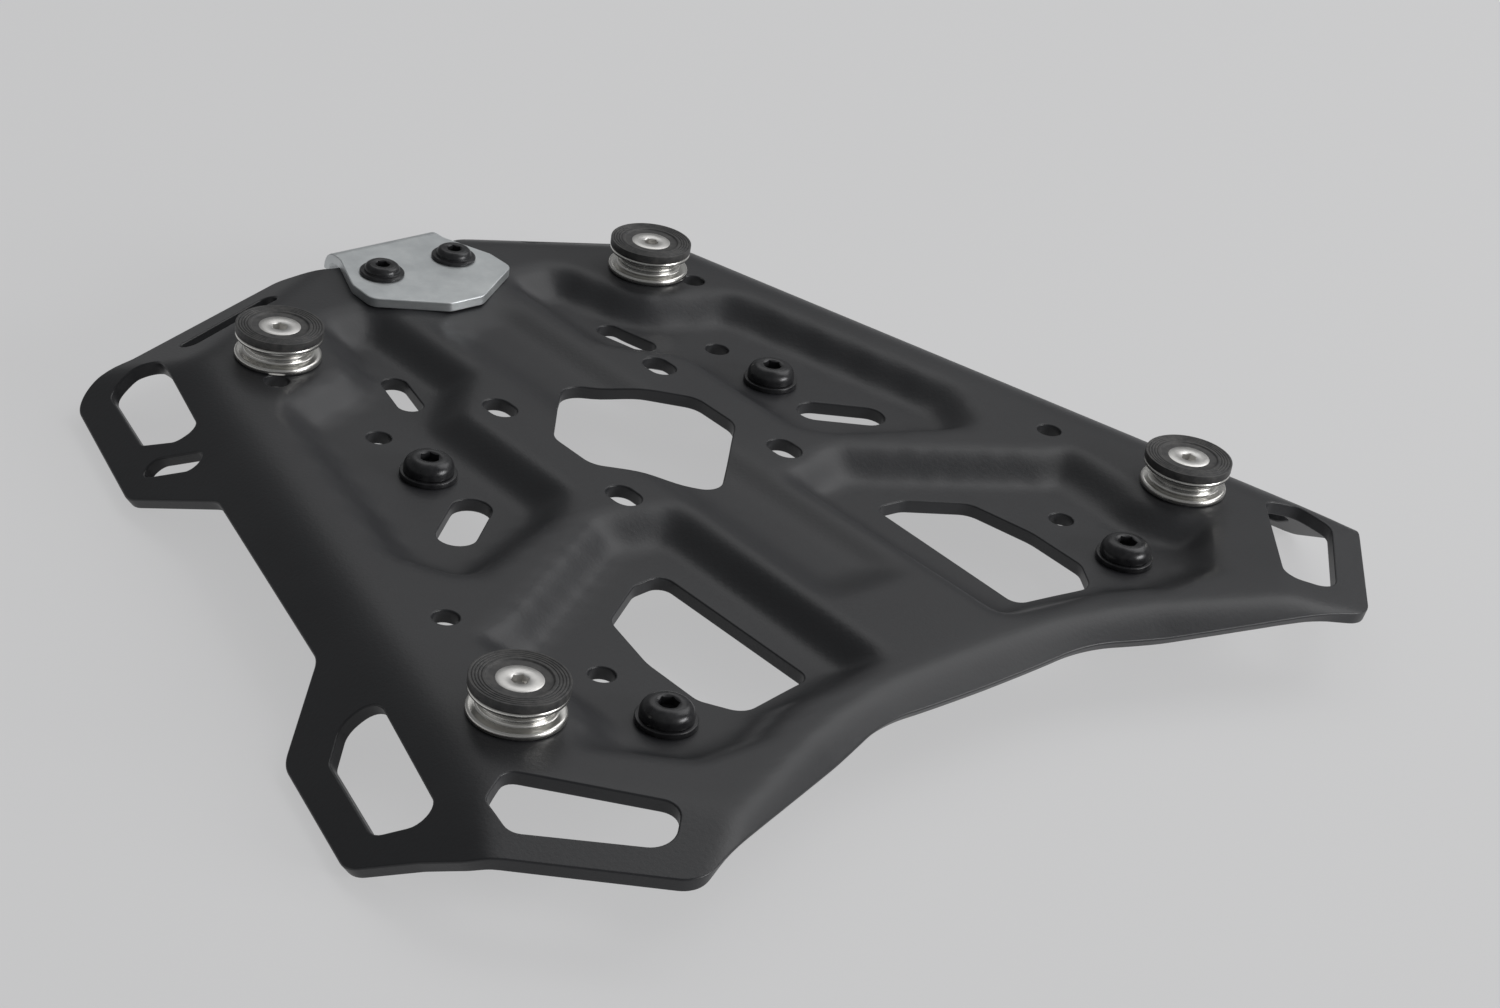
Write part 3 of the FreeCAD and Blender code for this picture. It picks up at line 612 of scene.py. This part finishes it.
step = plateSizes["meshStep"]
outline = plateCorners["rearEdge"] + sideRows("rearEar") + sideRows("frontEar") + plateCorners["frontEdge"]
loops = [roundedLoop(outline + flipped(outline), step)]
window = plateCorners["centreWindow"]
loops.append(roundedLoop(window + flipped(window[1:3]), step))
pairedWindows = [plateCorners["frontWindow"], plateCorners["noseWindow"]]
pairedWindows += [sideRows("rearEarWindow"), sideRows("frontEarWindow")]
for rows in pairedWindows:
    loops += [roundedLoop(rows, step), roundedLoop(flipped(rows), step)]
slotRows = list(plateSlots.values())
for down, forwards, farDown, farForwards, radius in sideSlots.values():
    slotRows.append([*onSide(down, forwards), *onSide(farDown, farForwards), radius])
for sign in (1, -1):
    loops += [slotLoop(sign * row[0], row[1], sign * row[2], row[3], row[4], step) for row in slotRows]
    loops += [circleLoop(sign * across, along, radius) for across, along, radius in plateHoles.values()]
plateSurface = pressedSurface(plateSizes)
plateMesh = sheetMesh("plate", loops, plateSurface, plateSizes["thickness"], plateSizes["rimRound"], step)
addPiece("pressedPlate", plateMesh, finishes["black_coat"], ["rack_plate"])
print("plate made", len(plateMesh.polygons))

# Latch bracket: a flat tongue whose rear edge rolls down.
bracketSizes = {
    "frontCorners": [[6.0, 92.0, 4.0], [26.0, 105.0, 4.0], [25.7, 115.2, 4.0]],
    "thickness": 3.0,
    "back": 139.2,
    "lipHalf": 19.2,
    "lipDrop": 6.6,
    "bendOutside": 5.0,
    "holeRadius": 3.2,
    "rimRound": 0.35,
    "shoulderBack": 8.0,
    "shoulderRound": 6.0,
    "lipRound": 0.8,
    "meshStep": 1.6,
}


def rolledSurface(spots):
    # flat, then a quarter turn, then straight down
    radius = bracketSizes["bendOutside"]
    past = spots[:, 1] - (bracketSizes["back"] - radius)
    turn = np.clip(past / radius, 0, math.pi / 2)
    down = np.maximum(past - radius * math.pi / 2, 0)
    along = np.where(past < 0, spots[:, 1], bracketSizes["back"] - radius + radius * np.sin(turn))
    height = deckTop + bracketSizes["thickness"] - radius * (1 - np.cos(turn)) - down
    normals = np.column_stack((np.zeros(len(spots)), np.sin(turn), np.cos(turn)))
    return np.column_stack((spots[:, 0], along, height)), normals


lipEnd = bracketSizes["back"] + bracketSizes["bendOutside"] * (math.pi / 2 - 2) + bracketSizes["lipDrop"]
shoulder = bracketSizes["back"] - bracketSizes["shoulderBack"]
bracketRows = bracketSizes["frontCorners"] + [
    [bracketSizes["lipHalf"], shoulder, bracketSizes["shoulderRound"]],
    [bracketSizes["lipHalf"], lipEnd, bracketSizes["lipRound"]],
]
bracketLoops = [roundedLoop(bracketRows + flipped(bracketRows), bracketSizes["meshStep"])]
boltAcross, boltAlong = plateHoles["bracketBolt"][:2]
for sign in (1, -1):
    bracketLoops.append(circleLoop(sign * boltAcross, boltAlong, bracketSizes["holeRadius"]))
bracketMesh = sheetMesh(
    "bracket", bracketLoops, rolledSurface,
    bracketSizes["thickness"], bracketSizes["rimRound"], bracketSizes["meshStep"],
)
addPiece("latchTongue", bracketMesh, finishes["zinc_plate"], ["latch_bracket"])
print("bracket made", len(bracketMesh.polygons))


# Turned and hexagonal hardware: rings of points up a common axis.
turns = 96
ringAngles = np.arange(turns) * 2 * math.pi / turns
turnedRules = {
    "sharpAngle": 38.0,
    "cornerShare": 0.45,
    "threadSteps": 7,
    "threadDepth": 0.5,
    "threadLead": 0.05,
    "mouthEase": 0.2,
    "floorDrop": 0.5,
    "floorShare": 0.3,
    "easeShare": 0.7,
}


def hexagon(flats):
    return flats / 2 / np.cos((ringAngles + math.pi / 6) % (math.pi / 3) - math.pi / 6)


def turnedMesh(name, rows, closed):
    # rows of radius and height, each a number or one value for every angle
    points = []
    for radius, height in rows:
        radius = np.zeros(turns) + radius
        height = np.zeros(turns) + height
        points.append(np.column_stack((radius * np.cos(ringAngles), radius * np.sin(ringAngles), height)))
    count = len(points)
    faces = []
    for row in range(count if closed else count - 1):
        below, above = row * turns, (row + 1) % count * turns
        for k in range(turns):
            other = (k + 1) % turns
            faces.append((below + k, below + other, above + other, above + k))
    mesh = bpy.data.meshes.new(name)
    mesh.from_pydata((np.concatenate(points) * milli).tolist(), [], faces)
    work = bmesh.new()
    work.from_mesh(mesh)
    bmesh.ops.remove_doubles(work, verts=work.verts, dist=1e-7)
    bmesh.ops.recalc_face_normals(work, faces=work.faces)
    work.to_mesh(mesh)
    work.free()
    mesh.shade_smooth()
    mesh.set_sharp_from_angle(angle=math.radians(turnedRules["sharpAngle"]))
    return mesh


def softRows(rows, radius):
    # a profile with each of its corners rounded by up to this radius
    most = turnedRules["cornerShare"]
    result = []
    for index, point in enumerate(rows):
        point = np.array(point, float)
        if index in (0, len(rows) - 1):
            result.append(tuple(point))
            continue
        before = np.array(rows[index - 1]) - point
        after = np.array(rows[index + 1]) - point
        cut = min(radius, np.linalg.norm(before) * most, np.linalg.norm(after) * most)
        start = point + before / np.linalg.norm(before) * cut
        end = point + after / np.linalg.norm(after) * cut
        for share in (0, 0.33, 0.67, 1):
            spot = (1 - share) ** 2 * start + 2 * share * (1 - share) * point + share ** 2 * end
            result.append(tuple(spot))
    return result


def threadRows(start, end, radius, pitch, limit=0.0):
    # a helical thread from one height to another; limit narrows its first turn
    depth = pitch * turnedRules["threadDepth"]
    rows = []
    for height in np.arange(start, end, pitch / turnedRules["threadSteps"]):
        wave = np.abs((height / pitch - ringAngles / (2 * math.pi)) % 1 - 0.5) * 2
        shrink = max(0.0, limit - abs(height - start))
        rows.append((radius - depth * wave - shrink, height))
    return rows


def socketRows(flats, top, depth):
    # from the floor of a hexagonal socket up to its eased mouth
    corner = hexagon(flats)
    mouth = flats / math.sqrt(3) + turnedRules["mouthEase"]
    drop = turnedRules["floorDrop"]
    return [
        (0.0, top - depth - drop),
        (flats * turnedRules["floorShare"], top - depth - drop / 2),
        (corner, top - depth),
        (corner, top - (mouth - corner) * turnedRules["easeShare"]),
        (mouth, top),
    ]


def shankRows(values, top):
    # the tip, then the thread up to this height
    rows = [(0.0, -values["length"]), (values["shank"] - values["tipEase"], -values["length"])]
    start = -values["length"] + turnedRules["threadLead"]
    return rows + threadRows(start, top, values["shank"], values["pitch"], values["firstTurn"])


def repeated(name, base, places, material, seed, spin):
    # the base mesh on each place, turned by chance about its own axis
    source = bpy.data.objects.new(name + "Base", base)
    scene.collection.objects.link(source)
    points = bpy.data.meshes.new(name + "Points")
    points.from_pydata([Vector(place) * milli for place in places], [], [])
    item = bpy.data.objects.new(name, points)
    scene.collection.objects.link(item)
    tree = bpy.data.node_groups.new(name + "Repeat", "GeometryNodeTree")
    sockets = {
        "Geometry": "Geometry",
        "Piece": "Object",
        "Spin": "Float",
        "Seed": "Int",
        "Finish": "Material",
    }
    for label, kind in sockets.items():
        tree.interface.new_socket(name=label, in_out="INPUT", socket_type="NodeSocket" + kind)
    tree.interface.new_socket(name="Geometry", in_out="OUTPUT", socket_type="NodeSocketGeometry")
    entry = tree.nodes.new("NodeGroupInput")
    out = tree.nodes.new("NodeGroupOutput")
    info = tree.nodes.new("GeometryNodeObjectInfo")
    chance = tree.nodes.new("FunctionNodeRandomValue")
    chance.data_type = "FLOAT"
    turning = tree.nodes.new("ShaderNodeCombineXYZ")
    placing = tree.nodes.new("GeometryNodeInstanceOnPoints")
    joined = tree.nodes.new("GeometryNodeRealizeInstances")
    finish = tree.nodes.new("GeometryNodeSetMaterial")
    link = tree.links.new
    link(entry.outputs["Piece"], info.inputs["Object"])
    link(entry.outputs["Spin"], chance.inputs[3])
    link(entry.outputs["Seed"], chance.inputs["Seed"])
    link(chance.outputs[1], turning.inputs["Z"])
    link(entry.outputs["Geometry"], placing.inputs["Points"])
    link(info.outputs["Geometry"], placing.inputs["Instance"])
    link(turning.outputs["Vector"], placing.inputs["Rotation"])
    link(placing.outputs["Instances"], joined.inputs["Geometry"])
    link(joined.outputs["Geometry"], finish.inputs["Geometry"])
    link(entry.outputs["Finish"], finish.inputs["Material"])
    link(finish.outputs["Geometry"], out.inputs["Geometry"])
    modifier = item.modifiers.new("repeat", "NODES")
    modifier.node_group = tree
    given = {"Piece": source, "Spin": spin, "Seed": seed, "Finish": material}
    for entrySocket in tree.interface.items_tree:
        if entrySocket.in_out == "INPUT" and entrySocket.name in given:
            modifier[entrySocket.identifier] = given[entrySocket.name]
    bpy.context.view_layer.update()
    graph = bpy.context.evaluated_depsgraph_get()
    mesh = bpy.data.meshes.new_from_object(item.evaluated_get(graph))
    bpy.data.objects.remove(item)
    bpy.data.objects.remove(source)
    return mesh


def addHardware(name, base, places, slotName, replaced, seed=1, spin=0.0):
    mesh = repeated(name, base, places, finishes[slotName], seed, spin)
    addPiece(name, mesh, finishes[slotName], replaced)
    print(name, len(mesh.polygons))


ends = [(end, side, sign) for end in ("rear", "front") for side, sign in (("left", 1), ("right", -1))]
studPlaces = [(sign * plateHoles[end + "Stud"][0], plateHoles[end + "Stud"][1]) for end, side, sign in ends]
boltPlaces = [(sign * plateHoles[end + "Bolt"][0], plateHoles[end + "Bolt"][1]) for end, side, sign in ends]
bracketPlaces = [(sign * boltAcross, boltAlong) for sign in (1, -1)]
sixth = math.pi / 3


def named(part):
    return [f"{end}_{side}_{part}" for end, side, sign in ends]


def raisedTo(places, height):
    return [(across, along, height) for across, along in places]


def spoolProfile(values):
    # a foot and a rim round a waist with a fine crease at its middle
    foot, waist, radius, flare = (values[key] for key in ("foot", "waist", "waistRadius", "waistFlare"))
    waistTop = foot + waist
    top = waistTop + values["rim"]
    return softRows([
        (values["bore"], 0.0),
        (values["radius"], 0.0),
        (values["radius"], foot),
        (radius + flare, foot),
        (radius, foot + flare),
        (radius, foot + waist * (0.5 - values["creaseShare"])),
        (radius - values["creaseDepth"], foot + waist * 0.5),
        (radius, foot + waist * (0.5 + values["creaseShare"])),
        (radius, waistTop - flare),
        (radius + flare, waistTop),
        (values["radius"], waistTop),
        (values["radius"], top),
        (coneMouth, top),
        (values["bore"], top - coneMouth + values["bore"]),
    ], values["edgeRound"])


def capProfile(values):
    # a dished top with fine ribs round its rim
    height, dish, rib = values["height"], values["dishRadius"], values["ribHalf"]
    rows = [(coneMouth, 0.0), (values["radius"], 0.0), (values["radius"], height)]
    radius = values["radius"] - values["ribPitch"]
    while radius > dish + values["ribPitch"]:
        rows += [(radius + rib, height), (radius, height - values["ribDepth"]), (radius - rib, height)]
        radius -= values["ribPitch"]
    rows += [(dish, height), (dish - values["dishDepth"], capFloor), (screwSizes["head"], capFloor)]
    return softRows(rows, values["ribRound"])


def screwProfile(values):
    shank, head = values["shank"], values["head"]
    coneFoot = shank - head
    rows = shankRows(values, coneFoot - values["runOut"]) + [
        (shank - values["neckEase"], coneFoot - values["neck"]),
        (shank - values["fitGap"], coneFoot),
        (head - values["rimEase"], -values["rimEase"]),
        (head - values["rimSoft"], -values["rimDrop"]),
        (head - values["rimEase"] / 2, 0.0),
    ]
    return rows + socketRows(values["socketFlats"], 0.0, values["socketDepth"])[::-1]


spoolTop = spoolSizes["foot"] + spoolSizes["waist"] + spoolSizes["rim"]
capFloor = capSizes["height"] - capSizes["dishDepth"]
coneMouth = screwSizes["head"] - capFloor
capLevel = deckTop + spoolTop
addHardware("studSpools", turnedMesh("spool", spoolProfile(spoolSizes), True),
            raisedTo(studPlaces, deckTop), "turned_steel", named("stud_spool"))
addHardware("studCaps", turnedMesh("cap", capProfile(capSizes), True),
            raisedTo(studPlaces, capLevel), "black_plastic", named("stud_cap"))
addHardware("studScrews", turnedMesh("screw", screwProfile(screwSizes), False),
            raisedTo(studPlaces, capLevel + capFloor), "stainless", named("stud_screw"), 7, sixth)

# Hexagonal nuts under the studs and the bracket.
nutSizes = {
    "flats": 10.0,
    "height": 5.0,
    "bore": 3.0,
    "chamferRadius": 4.7,
    "chamferRise": 0.55,
    "mouth": 0.35,
    "pitch": 1.0,
}


def nutMesh(values):
    corner = hexagon(values["flats"])
    drop = np.maximum(corner - values["chamferRadius"], 0) * values["chamferRise"]
    top = values["height"]
    rows = [
        (values["bore"] + values["mouth"], 0.0),
        (values["chamferRadius"], 0.0),
        (corner, drop),
        (corner, top - drop),
        (values["chamferRadius"], top),
        (values["bore"] + values["mouth"], top),
    ]
    root = values["bore"] + values["pitch"] * turnedRules["threadDepth"]
    inside = threadRows(values["mouth"], top - values["mouth"], root, values["pitch"])
    return turnedMesh("nut", rows + inside[::-1], True)


nutLevel = plateSizes["pocketDepth"] - nutSizes["height"]
addHardware("studNuts", nutMesh(nutSizes),
            raisedTo(studPlaces, nutLevel), "zinc_nut", named("stud_nut"), 3, sixth)
addHardware("bracketNuts", nutMesh(nutSizes), raisedTo(bracketPlaces, nutLevel), "zinc_nut",
            ["left_bracket_nut", "right_bracket_nut"], 4, sixth)

# Mounting bolts with button heads and thinner necks, and their washers.
boltSizes = {
    "shank": 4.0,
    "length": 20.0,
    "neck": 3.6,
    "neckEnd": 7.2,
    "head": 7.0,
    "height": 4.4,
    "crown": 3.2,
    "socketFlats": 5.0,
    "socketDepth": 2.6,
    "pitch": 1.25,
    "tipEase": 1.2,
    "firstTurn": 0.7,
    "runOut": 0.4,
    "underEase": 0.25,
}
washerSizes = {"radius": 8.0, "bore": 4.2, "height": 1.6, "edgeRound": 0.3, "seam": 0.01}


def buttonHead(values):
    # the crown of the head and its socket, from the rim inwards
    radius = values["crown"]
    middle = values["head"] - radius
    level = values["height"] - radius
    angles = np.linspace(0, math.pi / 2, 12)
    rows = [(middle + radius * math.cos(angle), level + radius * math.sin(angle)) for angle in angles]
    return rows + socketRows(values["socketFlats"], values["height"], values["socketDepth"])[::-1]


def mountingProfile(values):
    neckEnd, head, ease = values["neckEnd"], values["head"], values["underEase"]
    rows = shankRows(values, -neckEnd - values["runOut"]) + [
        (values["neck"], -neckEnd),
        (values["neck"], 0.0),
        (head - ease, 0.0),
        (head, ease),
    ]
    return rows + buttonHead(values)


def washerProfile(values):
    middle = (values["radius"] + values["bore"]) / 2
    return softRows([
        (middle, 0.0),
        (values["radius"], 0.0),
        (values["radius"], values["height"]),
        (values["bore"], values["height"]),
        (values["bore"], 0.0),
        (middle - values["seam"], 0.0),
    ], values["edgeRound"])


boltLevel = plateSizes["thickness"] + washerSizes["height"]
addHardware("mountingBolts", turnedMesh("bolt", mountingProfile(boltSizes), False),
            raisedTo(boltPlaces, boltLevel), "black_steel", named("mounting_bolt"), 11, sixth)
addHardware("mountingWashers", turnedMesh("washer", washerProfile(washerSizes), True),
            raisedTo(boltPlaces, plateSizes["thickness"]), "black_steel", named("mounting_washer"))

# Flanged bolts that hold the latch bracket.
flangeSizes = {
    "shank": 3.0,
    "length": 14.0,
    "flange": 6.75,
    "flangeHeight": 1.1,
    "head": 5.4,
    "height": 3.3,
    "crown": 1.9,
    "socketFlats": 4.0,
    "socketDepth": 2.0,
    "pitch": 1.0,
    "tipEase": 1.0,
    "firstTurn": 0.6,
    "runOut": 0.6,
    "neck": 0.4,
    "fitGap": 0.1,
    "underEase": 0.2,
    "edgeEase": 0.3,
    "slope": 0.05,
    "fillet": 0.15,
}


def flangedProfile(values):
    flange, head, level = values["flange"], values["head"], values["flangeHeight"]
    inner = values["shank"] - values["fitGap"]
    edge = level - values["slope"]
    rows = shankRows(values, -values["runOut"]) + [
        (inner, -values["neck"]),
        (inner, 0.0),
        (flange - values["underEase"], 0.0),
        (flange, values["underEase"]),
        (flange, edge - values["edgeEase"]),
        (flange - values["edgeEase"], edge),
        (head + values["fillet"], level),
        (head, level + values["fillet"]),
    ]
    return rows + buttonHead(values)


addHardware("bracketBolts", turnedMesh("flangeBolt", flangedProfile(flangeSizes), False),
            raisedTo(bracketPlaces, deckTop + bracketSizes["thickness"]), "black_steel",
            ["left_bracket_bolt", "right_bracket_bolt"], 5, sixth)
print("hardware made")

# Camera at the photo's angle.
cameraView = {
    "place": (-526.0, -558.2, 414.7),
    "azimuth": -45.315,
    "elevation": 28.672,
    "roll": 8.906,
    "lens": 74.21,
    "sensor": 36.0,
    "clipStart": 0.05,
    "clipEnd": 50.0,
}
azimuth = math.radians(cameraView["azimuth"])
elevation = math.radians(cameraView["elevation"])
roll = math.radians(cameraView["roll"])
back = Vector((
    math.sin(azimuth) * math.cos(elevation),
    -math.cos(azimuth) * math.cos(elevation),
    math.sin(elevation),
))
level = Vector((math.cos(azimuth), math.sin(azimuth), 0))
upright = back.cross(level)
right = level * math.cos(roll) + upright * math.sin(roll)
upward = upright * math.cos(roll) - level * math.sin(roll)
camera = bpy.data.objects.new("photoCamera", bpy.data.cameras.new("photoCamera"))
camera.data.lens = cameraView["lens"]
camera.data.sensor_width = cameraView["sensor"]
camera.data.clip_start = cameraView["clipStart"]
camera.data.clip_end = cameraView["clipEnd"]
turn = Matrix((right, upward, back)).transposed().to_4x4()
camera.matrix_world = Matrix.Translation(Vector(cameraView["place"]) * milli) @ turn
scene.collection.objects.link(camera)
scene.camera = camera

# Floor under the lowest edge, and the light all round.
studio = {
    "floorHalf": 6000.0,
    "floorColor": (0.62, 0.62, 0.625),
    "floorRoughness": 0.9,
    "evenColor": (0.66, 0.66, 0.665),
    "evenShare": 0.7,
    "gap": 0.2,
    "worldColor": (0.78, 0.79, 0.80),
    "worldStrength": 0.25,
}
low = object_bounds()[0]
half = studio["floorHalf"] * milli
floorMesh = bpy.data.meshes.new("floor")
floorCorners = [(-half, -half, 0), (half, -half, 0), (half, half, 0), (-half, half, 0)]
floorMesh.from_pydata(floorCorners, [], [(0, 1, 2, 3)])
floor = bpy.data.objects.new("floor", floorMesh)
floor.location.z = low.z - studio["gap"] * milli
scene.collection.objects.link(floor)
floorMaterial, floorTree, floorShader = newMaterial(
    "floorPaper", studio["floorColor"], 0.0, studio["floorRoughness"]
)
# the eye and mirrored rays see the floor partly even, and it still takes the shadow
seen = addNode(floorTree, "ShaderNodeLightPath")
share = addNode(floorTree, "ShaderNodeMath", operation="MULTIPLY")
share.inputs[1].default_value = studio["evenShare"]
evenLight = addNode(floorTree, "ShaderNodeEmission")
evenLight.inputs["Color"].default_value = (*studio["evenColor"], 1.0)
floorMix = addNode(floorTree, "ShaderNodeMixShader")
mirrored = addNode(floorTree, "ShaderNodeMath", operation="MAXIMUM")
floorTree.links.new(seen.outputs["Is Glossy Ray"], mirrored.inputs[0])
floorTree.links.new(seen.outputs["Is Transmission Ray"], mirrored.inputs[1])
anyView = addNode(floorTree, "ShaderNodeMath", operation="MAXIMUM")
floorTree.links.new(seen.outputs["Is Camera Ray"], anyView.inputs[0])
floorTree.links.new(mirrored.outputs[0], anyView.inputs[1])
floorTree.links.new(anyView.outputs[0], share.inputs[0])
floorTree.links.new(share.outputs[0], floorMix.inputs["Fac"])
floorTree.links.new(floorShader.outputs["BSDF"], floorMix.inputs[1])
floorTree.links.new(evenLight.outputs["Emission"], floorMix.inputs[2])
floorTree.links.new(floorMix.outputs["Shader"], floorTree.nodes["Material Output"].inputs["Surface"])
floorMesh.materials.append(floorMaterial)

world = bpy.data.worlds.new("studioWorld")
scene.world = world
world.use_nodes = True
worldTree = world.node_tree
background = worldTree.nodes["Background"]
background.inputs["Color"].default_value = (*studio["worldColor"], 1.0)
background.inputs["Strength"].default_value = studio["worldStrength"]

# Lamps: place, target and size in metres, and power in watts.
lamps = {
    "keyLamp": ((1.3, -0.15, 1.5), (0, 0, 0), (1.3, 1.3), 11),
    "frontLamp": ((0.9, -1.7, 0.6), (0.05, 0, 0), (1.0, 0.6), 22),
    "topLamp": ((0.8, 1.0, 1.5), (0, 0, 0), (1.2, 1.2), 4),
}


def addLamp(name, place, target, size, power):
    lamp = bpy.data.lights.new(name, "AREA")
    lamp.shape = "RECTANGLE"
    lamp.size, lamp.size_y = size
    lamp.energy = power
    item = bpy.data.objects.new(name, lamp)
    item.location = place
    item.rotation_euler = (Vector(target) - Vector(place)).to_track_quat("-Z", "Y").to_euler()
    scene.collection.objects.link(item)


for name, values in lamps.items():
    addLamp(name, *values)
scene.view_settings.view_transform = "Standard"
print("stage made")
